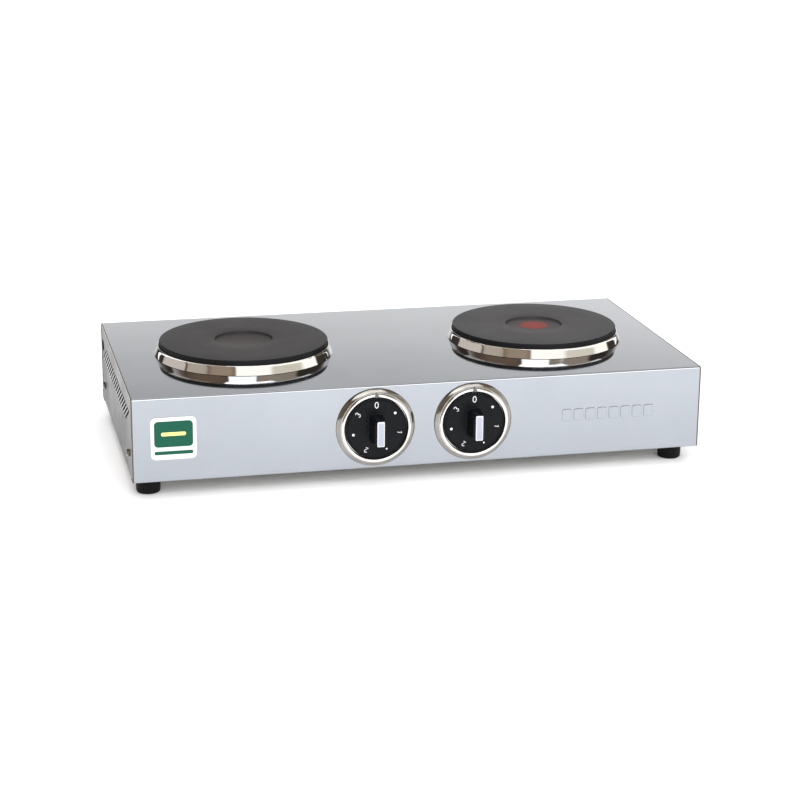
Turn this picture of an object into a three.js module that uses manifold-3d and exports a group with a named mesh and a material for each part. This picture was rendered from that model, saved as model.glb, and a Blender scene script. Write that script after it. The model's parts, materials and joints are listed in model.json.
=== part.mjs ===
// Twin boiling hot plate: a low stainless-steel box on four rubber feet, with two solid
// cast-iron hot plates on top and a seven-position rotary control for each on the front.
// Units are millimetres. +Z is up, the controls face -Y, and the origin is on the bench
// under the middle of the box.

import * as THREE from 'three';
import { mergeVertices } from 'three/addons/utils/BufferGeometryUtils.js';
import Module from 'manifold-3d';

const wasm = await Module();
wasm.setup();

// ---------------------------------------------------------------- driving dimensions

const BODY_WIDTH = 600;
const BODY_DEPTH = 308;
const BODY_HEIGHT = 88;
const FOOT_HEIGHT = 20;
const SHEET = 1.2;
const GAP = 0.3;

const PLATE_RADIUS = 90;
const PLATE_SPACING = 324;
const PLATE_RISE = 15;
const CONTROL_SPACING = 103;
const BEZEL_RADIUS = 41.2;
const DIAL_RADIUS = 32.2;
const CONTROL_REACH = 27;

const PLATE_SEGMENTS = 48;
const CONTROL_SEGMENTS = 40;
const HIDDEN_SEGMENTS = 20;
const ROUND_SEGMENTS = 24;
const FOOT_SEGMENTS = 18;
const ROD_SEGMENTS = 16;
const HOLE_SEGMENTS = 12;
const SCREW_SEGMENTS = 8;

// Half the length of a cutter that goes right through a sheet.
const THROUGH = 9;

// ---------------------------------------------------------------- derived planes

const FLOOR_Z = FOOT_HEIGHT;
const TOP_Z = FLOOR_Z + BODY_HEIGHT;
const FRONT_Y = -BODY_DEPTH / 2;
const REAR_Y = BODY_DEPTH / 2;
const END_X = BODY_WIDTH / 2;
const CONTROL_Z = FLOOR_Z + BODY_HEIGHT / 2;
const PLATE_X = PLATE_SPACING / 2;
const CONTROL_X = CONTROL_SPACING / 2;
const INSIDE_FRONT_Y = FRONT_Y + SHEET + GAP;
const INSIDE_REAR_Y = REAR_Y - SHEET - GAP;

// ---------------------------------------------------------------- finishes

function finish(color, roughness, metalness) {
  return new THREE.MeshStandardMaterial({ color, roughness, metalness });
}

const STAINLESS = finish(0xc9ccd2, 0.22, 1.0);
const STAINLESS_SIDE = finish(0xa3a4a8, 0.3, 1.0);
const CHROME = finish(0xe4e2de, 0.08, 1.0);
const CAST_IRON = finish(0x4b4a4e, 0.72, 0.25);
const BLACK_PLASTIC = finish(0x17181a, 0.38, 0.0);
const WHITE_PLASTIC = finish(0xe9ebf3, 0.35, 0.0);
const RUBBER = finish(0x131315, 0.8, 0.0);
const RED_ENAMEL = finish(0xa8463f, 0.6, 0.0);
const ZINC_STEEL = finish(0xb4b3ad, 0.35, 1.0);
const CERAMIC = finish(0xe8e1d2, 0.6, 0.0);
const MAGNESIA = finish(0xb9b2a4, 0.9, 0.0);
const PHENOLIC = finish(0x3a2a20, 0.55, 0.0);
const GLAND_NYLON = finish(0x1d1d1f, 0.5, 0.0);
const GLASS_SLEEVE = finish(0xd8d2c0, 0.85, 0.0);
const STICKER = finish(0xf3f5f2, 0.5, 0.0);

// ---------------------------------------------------------------- geometry helpers

// A closed, welded manifold solid from a three.js geometry.
function solid(geometry) {
  const bare = new THREE.BufferGeometry();
  bare.setAttribute('position', geometry.getAttribute('position').clone());
  if (geometry.index) bare.setIndex(geometry.index.clone());
  const welded = mergeVertices(bare, 1e-4);
  const index = welded.index.array;
  const kept = [];
  for (let i = 0; i < index.length; i += 3) {
    const [a, b, c] = [index[i], index[i + 1], index[i + 2]];
    if (a !== b && b !== c && c !== a) kept.push(a, b, c);
  }
  const vertProperties = Float32Array.from(welded.getAttribute('position').array);
  const triVerts = Uint32Array.from(kept);
  return new wasm.Manifold(new wasm.Mesh({ numProp: 3, vertProperties, triVerts }));
}

// A three.js geometry from a manifold solid.
function geometryOf(manifold) {
  const mesh = manifold.getMesh();
  const geometry = new THREE.BufferGeometry();
  geometry.setAttribute('position', new THREE.BufferAttribute(mesh.vertProperties, 3));
  geometry.setIndex(new THREE.BufferAttribute(mesh.triVerts, 1));
  geometry.computeVertexNormals();
  return geometry;
}

function without(body, cutters) {
  return cutters.reduce((rest, cutter) => rest.subtract(cutter), body);
}

// A body turned about +Z from [radius, height] points.
function turned(points, segments) {
  const outline = points.map(([r, h]) => new THREE.Vector2(r, h));
  return new THREE.LatheGeometry(outline, segments).rotateX(Math.PI / 2);
}

// The same body with its axis laid along -Y, out of the front panel.
function turnedForward(points, segments) {
  return turned(points, segments).rotateX(Math.PI / 2);
}

// The same body with its axis laid along +Y, out of the rear panel.
function turnedBackward(points, segments) {
  return turned(points, segments).rotateX(-Math.PI / 2);
}

function arcPoints(cx, cy, radius, from, to, steps) {
  const points = [];
  for (let i = 0; i <= steps; i++) {
    const angle = THREE.MathUtils.degToRad(from + ((to - from) * i) / steps);
    points.push([cx + radius * Math.cos(angle), cy + radius * Math.sin(angle)]);
  }
  return points;
}

function rod(radius, low, high, segments) {
  return turned([[0, low], [radius, low], [radius, high], [0, high]], segments);
}

function tubeRing(inner, outer, low, high, segments) {
  return turned([[inner, low], [outer, low], [outer, high], [inner, high], [inner, low]], segments);
}

function block(width, depth, height, x, y, z) {
  return new THREE.BoxGeometry(width, depth, height).translate(x, y, z);
}

function shapeOf(points) {
  return new THREE.Shape(points.map(([x, y]) => new THREE.Vector2(x, y)));
}

function extruded(points, depth) {
  return new THREE.ExtrudeGeometry(shapeOf(points), { depth, bevelEnabled: false });
}

// An extrusion whose two ends swell from the outline: rise is measured along the depth.
function bevelled(points, depth, rise, size, segments) {
  return new THREE.ExtrudeGeometry(shapeOf(points), {
    depth,
    bevelEnabled: true,
    bevelThickness: rise,
    bevelSize: size,
    bevelSegments: segments,
  });
}

// Shape x runs along world Y, shape y along world Z, and the depth along world X.
function layAlongX(geometry) {
  const basis = new THREE.Matrix4().makeBasis(
    new THREE.Vector3(0, 1, 0),
    new THREE.Vector3(0, 0, 1),
    new THREE.Vector3(1, 0, 0),
  );
  return geometry.applyMatrix4(basis);
}

// Shape x runs along world X, shape y along world Z, and the depth along world -Y.
function layForward(geometry) {
  return geometry.rotateX(Math.PI / 2);
}

function roundedRectangle(width, height, radius, steps) {
  const x = width / 2 - radius;
  const y = height / 2 - radius;
  return [
    ...arcPoints(x, y, radius, 0, 90, steps),
    ...arcPoints(-x, y, radius, 90, 180, steps),
    ...arcPoints(-x, -y, radius, 180, 270, steps),
    ...arcPoints(x, -y, radius, 270, 360, steps),
  ];
}

const group = new THREE.Group();

function add(name, geometry, material, x = 0, y = 0, z = 0) {
  const mesh = new THREE.Mesh(geometry, material);
  mesh.name = name;
  mesh.position.set(x, y, z);
  group.add(mesh);
  return mesh;
}

function addSolid(name, manifold, material, x = 0, y = 0, z = 0) {
  return add(name, geometryOf(manifold), material, x, y, z);
}

const SIDES = [['left', -1], ['right', 1]];

// ---------------------------------------------------------------- folded housing

const TOP_BEND = 3;
const LOW_BEND = 1.7;
const HEM = 14;
const PLATE_HOLE = 86;
const SHAFT_HOLE = 5;
const CONTROL_SCREW_OFFSET = 15;
const CONTROL_SCREW_HOLE = 2.3;
const GLAND_HOLE = 10.2;
const GLAND_Z = FLOOR_Z + 30;
const EMBOSS_ROW = { count: 8, pitch: 12.8, x: 198 };
const EMBOSS_PAD = { width: 10.6, height: 13, corner: 2.2, shoulder: 1.1, proud: 0.7 };

// Front wall, top and rear wall are one sheet, hemmed inward along both lower edges.
function housingSection() {
  const y = BODY_DEPTH / 2;
  const inner = TOP_BEND - SHEET;
  const innerLow = LOW_BEND - SHEET;
  return [
    [-y + HEM, FLOOR_Z],
    ...arcPoints(-y + LOW_BEND, FLOOR_Z + LOW_BEND, LOW_BEND, 270, 180, 3),
    ...arcPoints(-y + TOP_BEND, TOP_Z - TOP_BEND, TOP_BEND, 180, 90, 4),
    ...arcPoints(y - TOP_BEND, TOP_Z - TOP_BEND, TOP_BEND, 90, 0, 4),
    ...arcPoints(y - LOW_BEND, FLOOR_Z + LOW_BEND, LOW_BEND, 0, -90, 3),
    [y - HEM, FLOOR_Z],
    [y - HEM, FLOOR_Z + SHEET],
    ...arcPoints(y - LOW_BEND, FLOOR_Z + LOW_BEND, innerLow, -90, 0, 3),
    ...arcPoints(y - TOP_BEND, TOP_Z - TOP_BEND, inner, 0, 90, 4),
    ...arcPoints(-y + TOP_BEND, TOP_Z - TOP_BEND, inner, 90, 180, 4),
    ...arcPoints(-y + LOW_BEND, FLOOR_Z + LOW_BEND, innerLow, 180, 270, 3),
    [-y + HEM, FLOOR_Z + SHEET],
  ].reverse();
}

function housingHoles() {
  const holes = [];
  for (const [, side] of SIDES) {
    const opening = rod(PLATE_HOLE, TOP_Z - THROUGH, TOP_Z + THROUGH, PLATE_SEGMENTS);
    holes.push(opening.translate(side * PLATE_X, 0, 0));
    const shaft = rod(SHAFT_HOLE, -THROUGH, THROUGH, HIDDEN_SEGMENTS).rotateX(Math.PI / 2);
    holes.push(shaft.translate(side * CONTROL_X, FRONT_Y, CONTROL_Z));
    for (const offset of [-CONTROL_SCREW_OFFSET, CONTROL_SCREW_OFFSET]) {
      const screw = rod(CONTROL_SCREW_HOLE, -THROUGH, THROUGH, HOLE_SEGMENTS).rotateX(Math.PI / 2);
      holes.push(screw.translate(side * CONTROL_X + offset, FRONT_Y, CONTROL_Z));
    }
  }
  const gland = rod(GLAND_HOLE, -THROUGH, THROUGH, ROUND_SEGMENTS).rotateX(Math.PI / 2);
  holes.push(gland.translate(0, REAR_Y, GLAND_Z));
  return holes.map(solid);
}

// A row of plain raised pads with sloped shoulders, pressed into the front panel.
function embossedRow() {
  const { count, pitch, x } = EMBOSS_ROW;
  const { width, height, corner, shoulder, proud } = EMBOSS_PAD;
  const outline = roundedRectangle(width - 2 * shoulder, height - 2 * shoulder, corner - shoulder, 2);
  const pad = solid(layForward(bevelled(outline, SHEET / 4, proud, shoulder, 2)));
  const pads = [];
  for (let i = 0; i < count; i++) {
    pads.push(pad.translate([x + (i - (count - 1) / 2) * pitch, FRONT_Y + SHEET / 4, CONTROL_Z]));
  }
  return wasm.Manifold.union(pads);
}

function buildHousing() {
  const sheet = layAlongX(extruded(housingSection(), BODY_WIDTH)).translate(-END_X, 0, 0);
  const body = without(solid(sheet), housingHoles()).add(embossedRow());
  addSolid('housing', body, STAINLESS);
}

// ---------------------------------------------------------------- louvred side panels

const SIDE_RECESS = 0.4;
const SIDE_FLANGE = 14;
const SIDE_BEND = 2;
const SIDE_OUTER_X = END_X - SIDE_RECESS;
const SLOT = { count: 20, pitch: 12.1, first: -115, z: FLOOR_Z + 61, length: 42, width: 2.8, slant: 26 };
const LIP = { length: 39, foot: 2.1, crest: 1.2, proud: 0.5 };
const END_VENT = { y: 137, z: FLOOR_Z + 66, length: 22, height: 12 };
const SIDE_SCREW = { y: 123, z: FLOOR_Z + 23, hole: 2.3 };

// One side panel is a shallow folded tray: a face, with flanges on its top and both ends.
function sidePanelShell() {
  const depth = BODY_DEPTH - 2 * (SHEET + GAP);
  const top = TOP_Z - SHEET - GAP;
  const bottom = FLOOR_Z + SHEET + GAP;
  const below = bottom - 2 * SIDE_FLANGE;
  const outline = roundedRectangle(depth - 2 * SIDE_BEND, top - below - 2 * SIDE_BEND, 1, 1);
  const skin = (bend) => {
    const body = layAlongX(bevelled(outline, SIDE_FLANGE, bend, bend, 2));
    return solid(body.translate(SIDE_BEND, 0, (top + below) / 2));
  };
  const mouth = solid(block(BODY_DEPTH, BODY_DEPTH, BODY_DEPTH, SIDE_FLANGE + BODY_DEPTH / 2, 0, TOP_Z));
  const skirt = solid(block(BODY_DEPTH, BODY_DEPTH + 2, 4 * SIDE_FLANGE, 0, 0, bottom - 2 * SIDE_FLANGE));
  return without(skin(SIDE_BEND), [skin(SIDE_BEND - SHEET), mouth, skirt]);
}

function slot(length, width, slant, y, z, steps) {
  const outline = roundedRectangle(length, width, width / 2 - 0.05, steps);
  const cutter = layAlongX(extruded(outline, 2 * THROUGH)).translate(-THROUGH, 0, 0);
  return solid(cutter.rotateX(THREE.MathUtils.degToRad(-slant)).translate(0, y, z));
}

// The raised lip pressed out of the sheet between two slots, on the panel's outer face.
function louvreLip(y) {
  const root = SHEET / 2;
  const section = [
    [-LIP.foot / 2, -root],
    [LIP.foot / 2, -root],
    [LIP.crest / 2, LIP.proud],
    [-LIP.crest / 2, LIP.proud],
  ];
  const basis = new THREE.Matrix4().makeBasis(
    new THREE.Vector3(0, 0, 1),
    new THREE.Vector3(-1, 0, 0),
    new THREE.Vector3(0, -1, 0),
  );
  const bar = extruded(section, LIP.length).applyMatrix4(basis).translate(0, LIP.length / 2, 0);
  return solid(bar.rotateX(THREE.MathUtils.degToRad(-SLOT.slant)).translate(0, y, SLOT.z));
}

function louvreLips() {
  const lips = [];
  for (let i = 0; i < SLOT.count - 1; i++) lips.push(louvreLip(SLOT.first + (i + 0.5) * SLOT.pitch));
  return lips;
}

function sidePanelCutters() {
  const cutters = [];
  for (let i = 0; i < SLOT.count; i++) {
    cutters.push(slot(SLOT.length, SLOT.width, SLOT.slant, SLOT.first + i * SLOT.pitch, SLOT.z, 1));
  }
  cutters.push(slot(END_VENT.length, END_VENT.height, 0, END_VENT.y, END_VENT.z, 4));
  for (const y of [-SIDE_SCREW.y, SIDE_SCREW.y]) {
    const hole = rod(SIDE_SCREW.hole, -THROUGH, THROUGH, HOLE_SEGMENTS).rotateY(Math.PI / 2);
    cutters.push(solid(hole.translate(0, y, SIDE_SCREW.z)));
  }
  return cutters;
}

function buildSidePanels() {
  const panel = without(sidePanelShell(), sidePanelCutters());
  const left = wasm.Manifold.union([panel, ...louvreLips()]).translate([-SIDE_OUTER_X, 0, 0]);
  addSolid('side_panel_left', left, STAINLESS_SIDE);
  addSolid('side_panel_right', left.mirror([1, 0, 0]), STAINLESS_SIDE);
}

// ---------------------------------------------------------------- base tray

const TRAY_HALF_DEPTH = 151;
const TRAY_OUTER_X = SIDE_OUTER_X - SHEET - GAP;
const TRAY_Z = FLOOR_Z + SHEET + GAP;
const TRAY_WALL = 34;
const FOOT = { x: 281, y: 121, radius: 13.1, screwHole: 2.9 };
const AIR_SLOT = { count: 6, pitch: 16, length: 90, width: 5, corner: 2.4 };

function traySection() {
  const x = TRAY_OUTER_X;
  const inner = LOW_BEND - SHEET;
  return [
    [x, TRAY_Z + TRAY_WALL],
    [x - SHEET, TRAY_Z + TRAY_WALL],
    ...arcPoints(x - LOW_BEND, TRAY_Z + LOW_BEND, inner, 0, -90, 3),
    ...arcPoints(-x + LOW_BEND, TRAY_Z + LOW_BEND, inner, 270, 180, 3),
    [-x + SHEET, TRAY_Z + TRAY_WALL],
    [-x, TRAY_Z + TRAY_WALL],
    ...arcPoints(-x + LOW_BEND, TRAY_Z + LOW_BEND, LOW_BEND, 180, 270, 3),
    ...arcPoints(x - LOW_BEND, TRAY_Z + LOW_BEND, LOW_BEND, -90, 0, 3),
  ];
}

function trayHoles() {
  const holes = [];
  for (const [, side] of SIDES) {
    for (const end of [-1, 1]) {
      const foot = rod(FOOT.screwHole, TRAY_Z - THROUGH, TRAY_Z + THROUGH, HOLE_SEGMENTS);
      holes.push(foot.translate(side * FOOT.x, end * FOOT.y, 0));
      const screw = rod(SIDE_SCREW.hole, -THROUGH, THROUGH, HOLE_SEGMENTS).rotateY(Math.PI / 2);
      holes.push(screw.translate(side * TRAY_OUTER_X, end * SIDE_SCREW.y, SIDE_SCREW.z));
    }
    for (let i = 0; i < AIR_SLOT.count; i++) {
      const y = (i - (AIR_SLOT.count - 1) / 2) * AIR_SLOT.pitch;
      const outline = roundedRectangle(AIR_SLOT.length, AIR_SLOT.width, AIR_SLOT.corner, 1);
      holes.push(extruded(outline, 2 * THROUGH).translate(side * PLATE_X, y, TRAY_Z - THROUGH));
    }
  }
  return holes.map(solid);
}

function buildBaseTray() {
  const tray = layForward(extruded(traySection(), 2 * TRAY_HALF_DEPTH));
  addSolid('base_tray', without(solid(tray.translate(0, TRAY_HALF_DEPTH, 0)), trayHoles()), ZINC_STEEL);
}

// ---------------------------------------------------------------- feet and fasteners

const FOOT_POCKET = { radius: 5, depth: 9 };
const FOOT_TOE = { inset: 3, radius: 2.2 };
const FOOT_SCREW = { head: 4.4, rise: 3, shank: 2.4, length: 18, drive: 1 };
const SIDE_PAN_SCREW = { head: 4.1, rise: 2.7, shank: 1.9, length: 9, drive: 0.9 };
const SWITCH_SCREW = { head: 3.6, rise: 2, shank: 1.9, length: 11, drive: 0.8 };

function footShape() {
  const top = FOOT_HEIGHT + SHEET;
  return turned(
    [
      [FOOT_POCKET.radius, 0],
      ...arcPoints(FOOT.radius - FOOT_TOE.inset, FOOT_TOE.radius, FOOT_TOE.radius, -90, 0, 2),
      [FOOT.radius, top],
      [FOOT.screwHole, top],
      [FOOT.screwHole, FOOT_POCKET.depth],
      [FOOT_POCKET.radius, FOOT_POCKET.depth],
      [FOOT_POCKET.radius, 0],
    ],
    FOOT_SEGMENTS,
  );
}

// A pan-head screw along +Z: the head sits above z = 0 and the shank runs below it.
function panScrew({ head, rise, shank, length, drive }) {
  const screw = turned(
    [
      [0, -length],
      [shank, -length],
      [shank, 0],
      [head, 0],
      [head, rise * 0.35],
      [head * 0.75, rise * 0.9],
      [0, rise],
    ],
    SCREW_SEGMENTS,
  );
  const driveLength = head * 1.25;
  const oneWay = solid(block(driveLength, drive, rise, 0, 0, rise));
  const crossways = solid(block(drive, driveLength, rise, 0, 0, rise));
  return without(solid(screw), [oneWay, crossways]);
}

function buildFeet() {
  for (const [sideName, side] of SIDES) {
    for (const [endName, end] of [['front', -1], ['rear', 1]]) {
      const x = side * FOOT.x;
      const y = end * FOOT.y;
      add(`foot_${endName}_${sideName}`, footShape(), RUBBER, x, y, 0);
      const screw = panScrew(FOOT_SCREW).rotate([180, 0, 0]);
      addSolid(`foot_screw_${endName}_${sideName}`, screw, ZINC_STEEL, x, y, FOOT_POCKET.depth - GAP);
    }
  }
}

function buildSideScrews() {
  for (const [sideName, side] of SIDES) {
    for (const [endName, end] of [['front', -1], ['rear', 1]]) {
      const screw = panScrew(SIDE_PAN_SCREW).rotate([0, side * 90, 0]);
      const x = side * (SIDE_OUTER_X + GAP);
      addSolid(`side_screw_${endName}_${sideName}`, screw, ZINC_STEEL, x, end * SIDE_SCREW.y, SIDE_SCREW.z);
    }
  }
}

// ---------------------------------------------------------------- hot plates

const RECESS_RADIUS = 31;
const RECESS_DEPTH = 2;
const RIM_ROUND = 1.6;
const SKIRT_CLEARANCE = 1.4;
const SPOT = { radius: 16, thickness: 0.2 };
const PLATE_SKIRT = 84;
const PLATE_THICKNESS = 22;
const PLATE_UNDERSIDE = PLATE_RISE - PLATE_THICKNESS;
const RING = { lip: 9.8, lipRound: 0.7, base: 94.6, bore: 87, wall: 0.8 };
const HEATER = { inner: 30, outer: 79, depth: 12 };
const COVER_TOP = PLATE_UNDERSIDE - GAP;
const COVER_BOTTOM = COVER_TOP - 0.8;
const STUD_RADIUS = 4;
const STUD_TOP = 3;
const STUD_TAIL = 12;
const BRIDGE = { reach: 97, knee: 77, foot: 87, width: 26, thickness: 2, low: -27 };
const CLAMP_NUT = { corners: 7.5, height: 6.5 };
const PLATE_TERMINAL = { offset: 45, width: 24, depth: 40, height: 15, pitch: 12, groove: 5, grooveHeight: 6 };

function castingShape(hasSpot) {
  const floor = PLATE_RISE - RECESS_DEPTH;
  const pocket = floor - GAP - SPOT.thickness;
  const spotWall = SPOT.radius + GAP;
  const centre = hasSpot ? [[0, pocket], [spotWall, pocket], [spotWall, floor]] : [[0, floor]];
  return turned(
    [
      [0, STUD_TOP + GAP],
      [STUD_RADIUS + GAP, STUD_TOP + GAP],
      [STUD_RADIUS + GAP, PLATE_UNDERSIDE],
      [HEATER.inner - 1, PLATE_UNDERSIDE],
      [HEATER.inner - 1, PLATE_UNDERSIDE + HEATER.depth + GAP],
      [HEATER.outer + GAP, PLATE_UNDERSIDE + HEATER.depth + GAP],
      [HEATER.outer + GAP, PLATE_UNDERSIDE],
      [PLATE_SKIRT, PLATE_UNDERSIDE],
      [PLATE_SKIRT, SKIRT_CLEARANCE],
      [PLATE_RADIUS, SKIRT_CLEARANCE],
      ...arcPoints(PLATE_RADIUS - RIM_ROUND, PLATE_RISE - RIM_ROUND, RIM_ROUND, 0, 90, 2),
      [RECESS_RADIUS, PLATE_RISE],
      [RECESS_RADIUS - 0.8, floor],
      ...centre.reverse(),
    ],
    PLATE_SEGMENTS,
  );
}

// The overflow ring: a rolled lip round the plate, a skirt that leans out to the sheet,
// and a flat web that the plate sits on.
function ringShape() {
  const lipRadius = PLATE_RADIUS + GAP + RING.lipRound;
  return turned(
    [
      [RING.bore, GAP],
      [RING.base, GAP],
      [RING.base + 0.4, GAP + 0.6],
      [lipRadius + 1.1, RING.lip - 2],
      ...arcPoints(lipRadius, RING.lip - RING.lipRound, RING.lipRound, 20, 180, 2),
      [RING.base - 0.7, GAP + RING.wall],
      [RING.bore, GAP + RING.wall],
      [RING.bore, GAP],
    ],
    PLATE_SEGMENTS,
  );
}

function heaterShape() {
  const low = PLATE_UNDERSIDE + GAP;
  return tubeRing(HEATER.inner, HEATER.outer, low, PLATE_UNDERSIDE + HEATER.depth, HIDDEN_SEGMENTS);
}

function coverShape() {
  return tubeRing(STUD_RADIUS + GAP, PLATE_SKIRT - 1, COVER_BOTTOM, COVER_TOP, HIDDEN_SEGMENTS);
}

// The clamp bridge pulls the plate down: a strip with raised ends under the top sheet.
function bridgeShape() {
  const { reach, knee, foot, thickness, low } = BRIDGE;
  const high = -SHEET - GAP;
  const outline = [
    [-reach, high],
    [-reach, high - thickness],
    [-foot - thickness, high - thickness],
    [-knee - thickness, low],
    [knee + thickness, low],
    [foot + thickness, high - thickness],
    [reach, high - thickness],
    [reach, high],
    [foot, high],
    [knee, low + thickness],
    [-knee, low + thickness],
    [-foot, high],
  ];
  const strip = layAlongX(extruded(outline, BRIDGE.width)).translate(-BRIDGE.width / 2, 0, 0);
  return without(solid(strip), [solid(rod(STUD_RADIUS + GAP, low - THROUGH, low + THROUGH, ROD_SEGMENTS))]);
}

function hexNut(acrossCorners, hole, low, high) {
  const nut = new THREE.CylinderGeometry(acrossCorners, acrossCorners, high - low, 6);
  const body = solid(nut.rotateX(Math.PI / 2).translate(0, 0, (low + high) / 2));
  return without(body, [solid(rod(hole, low - 1, high + 1, ROD_SEGMENTS))]);
}

function terminalShape() {
  const { width, depth, height, pitch, groove, grooveHeight } = PLATE_TERMINAL;
  const body = solid(block(width, depth, height, 0, 0, -height / 2));
  const cutters = [-pitch, 0, pitch].map((y) => solid(block(width + 2, groove, grooveHeight, 0, y, -height)));
  return without(body, cutters);
}

function buildHotPlates() {
  for (const [name, side] of SIDES) {
    const x = side * PLATE_X;
    const hasSpot = side > 0;
    add(`plate_${name}`, castingShape(hasSpot), CAST_IRON, x, 0, TOP_Z);
    add(`overflow_ring_${name}`, ringShape(), CHROME, x, 0, TOP_Z);
    add(`heater_core_${name}`, heaterShape(), MAGNESIA, x, 0, TOP_Z);
    add(`plate_cover_${name}`, coverShape(), ZINC_STEEL, x, 0, TOP_Z);
    const stud = rod(STUD_RADIUS, BRIDGE.low - STUD_TAIL, STUD_TOP, HOLE_SEGMENTS);
    add(`plate_stud_${name}`, stud, ZINC_STEEL, x, 0, TOP_Z);
    addSolid(`clamp_bridge_${name}`, bridgeShape(), ZINC_STEEL, x, 0, TOP_Z);
    const nutTop = BRIDGE.low - GAP;
    const nut = hexNut(CLAMP_NUT.corners, STUD_RADIUS + GAP, nutTop - CLAMP_NUT.height, nutTop);
    addSolid(`clamp_nut_${name}`, nut, ZINC_STEEL, x, 0, TOP_Z);
    const terminalX = x - side * PLATE_TERMINAL.offset;
    addSolid(`plate_terminal_${name}`, terminalShape(), CERAMIC, terminalX, 0, TOP_Z + COVER_BOTTOM - GAP);
    if (hasSpot) {
      const floor = PLATE_RISE - RECESS_DEPTH;
      const spot = rod(SPOT.radius, floor - SPOT.thickness, floor, ROUND_SEGMENTS);
      add('plate_spot_right', spot, RED_ENAMEL, x, 0, TOP_Z);
    }
  }
}

// ---------------------------------------------------------------- controls

const WEB = { low: GAP, high: 1.5, bore: 8 };
const BEZEL_BORE = DIAL_RADIUS + 0.5;
const INDEX = { halfWidth: 4, apex: 38.4, floor: 3.9 };
const DIAL_BACK = 2.2;
const DIAL_FACE = 5.6;
const DIAL_RECESS = 4.3;
const GRIP = { length: 30, width: 15.5, top: 26.5, depth: 22, corner: 4.2, draft: 0.08 };
const INSERT = { length: 26.5, width: 8, thickness: 1.4 };
const SHAFT_RADIUS = 3;
const SHAFT_TIP = 18;
const SWITCH = { width: 40, height: 44, depth: 30, tabWidth: 7, tabThickness: 1.6, tabX: 8, tabPitch: 9 };

function bezelShape() {
  const ring = turnedForward(
    [
      [WEB.bore, WEB.low],
      [BEZEL_RADIUS, WEB.low],
      [BEZEL_RADIUS, 1],
      [BEZEL_RADIUS - 1.2, 2.3],
      [BEZEL_RADIUS - 4.4, 4.3],
      [BEZEL_RADIUS - 5, 5.3],
      ...arcPoints(BEZEL_BORE + 1.7, 4.9, 1.7, 60, 180, 2),
      [BEZEL_BORE, WEB.high],
      [WEB.bore, WEB.high],
      [WEB.bore, WEB.low],
    ],
    CONTROL_SEGMENTS,
  );
  const cutters = [-CONTROL_SCREW_OFFSET, CONTROL_SCREW_OFFSET].map((offset) => {
    const hole = rod(CONTROL_SCREW_HOLE, -THROUGH, THROUGH, HOLE_SEGMENTS).rotateX(Math.PI / 2);
    return solid(hole.translate(offset, 0, 0));
  });
  return without(solid(ring), [...cutters, indexMark()]);
}

// The pointer at twelve o'clock is a small triangle sunk into the rim of the bezel.
function indexMark() {
  const { halfWidth, apex, floor } = INDEX;
  const outline = [[-halfWidth, BEZEL_BORE - 1], [halfWidth, BEZEL_BORE - 1], [0, apex]];
  return solid(layForward(extruded(outline, THROUGH)).translate(0, -floor, 0));
}

function dialDisc() {
  return turnedForward(
    [
      [0, DIAL_FACE - 2.2],
      [SHAFT_RADIUS + 4, DIAL_FACE - 2.2],
      [SHAFT_RADIUS + 4, DIAL_BACK],
      [SHAFT_RADIUS + 6, DIAL_BACK],
      [SHAFT_RADIUS + 6, DIAL_RECESS],
      [DIAL_RADIUS - 3, DIAL_RECESS],
      [DIAL_RADIUS - 3, DIAL_BACK],
      [DIAL_RADIUS, DIAL_BACK],
      ...arcPoints(DIAL_RADIUS - 1.4, DIAL_FACE - 1.4, 1.4, 0, 90, 2),
      [0, DIAL_FACE],
    ],
    CONTROL_SEGMENTS,
  );
}

// The grip is a tapering bar with round ends and a softened nose.
function gripShape() {
  const nose = 1.2;
  const outline = roundedRectangle(GRIP.width - 2 * nose, GRIP.length - 2 * nose, GRIP.corner, 3);
  const bar = bevelled(outline, GRIP.depth, nose, nose, 2).translate(0, 0, GRIP.top - GRIP.depth - nose);
  const position = bar.getAttribute('position');
  for (let i = 0; i < position.count; i++) {
    const shrink = 2 * GRIP.draft * Math.max(position.getZ(i) - DIAL_FACE, 0);
    position.setX(i, position.getX(i) * (1 - shrink / GRIP.width));
    position.setY(i, position.getY(i) * (1 - shrink / GRIP.length));
  }
  return layForward(bar);
}

function knobShape() {
  const bore = rod(SHAFT_RADIUS + GAP, -THROUGH, SHAFT_TIP + 2, HIDDEN_SEGMENTS).rotateX(Math.PI / 2);
  const pocket = roundedRectangle(INSERT.width + 2 * GAP, INSERT.length + 2 * GAP, 1, 2);
  const seatFloor = CONTROL_REACH - INSERT.thickness - GAP;
  const seat = layForward(extruded(pocket, THROUGH)).translate(0, -seatFloor, 0);
  const backCut = block(3 * DIAL_RADIUS, DIAL_RECESS, 3 * DIAL_RADIUS, 0, -DIAL_RECESS / 2, 0);
  const grip = without(solid(gripShape()), [solid(backCut)]);
  return without(solid(dialDisc()).add(grip), [solid(bore), solid(seat)]);
}

function insertShape() {
  const soft = 0.4;
  const outline = roundedRectangle(INSERT.width - 2 * soft, INSERT.length - 2 * soft, 0.6, 2);
  const bar = bevelled(outline, INSERT.thickness - 2 * soft, soft, soft, 1);
  return layForward(bar.translate(0, 0, CONTROL_REACH - INSERT.thickness + soft));
}

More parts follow.
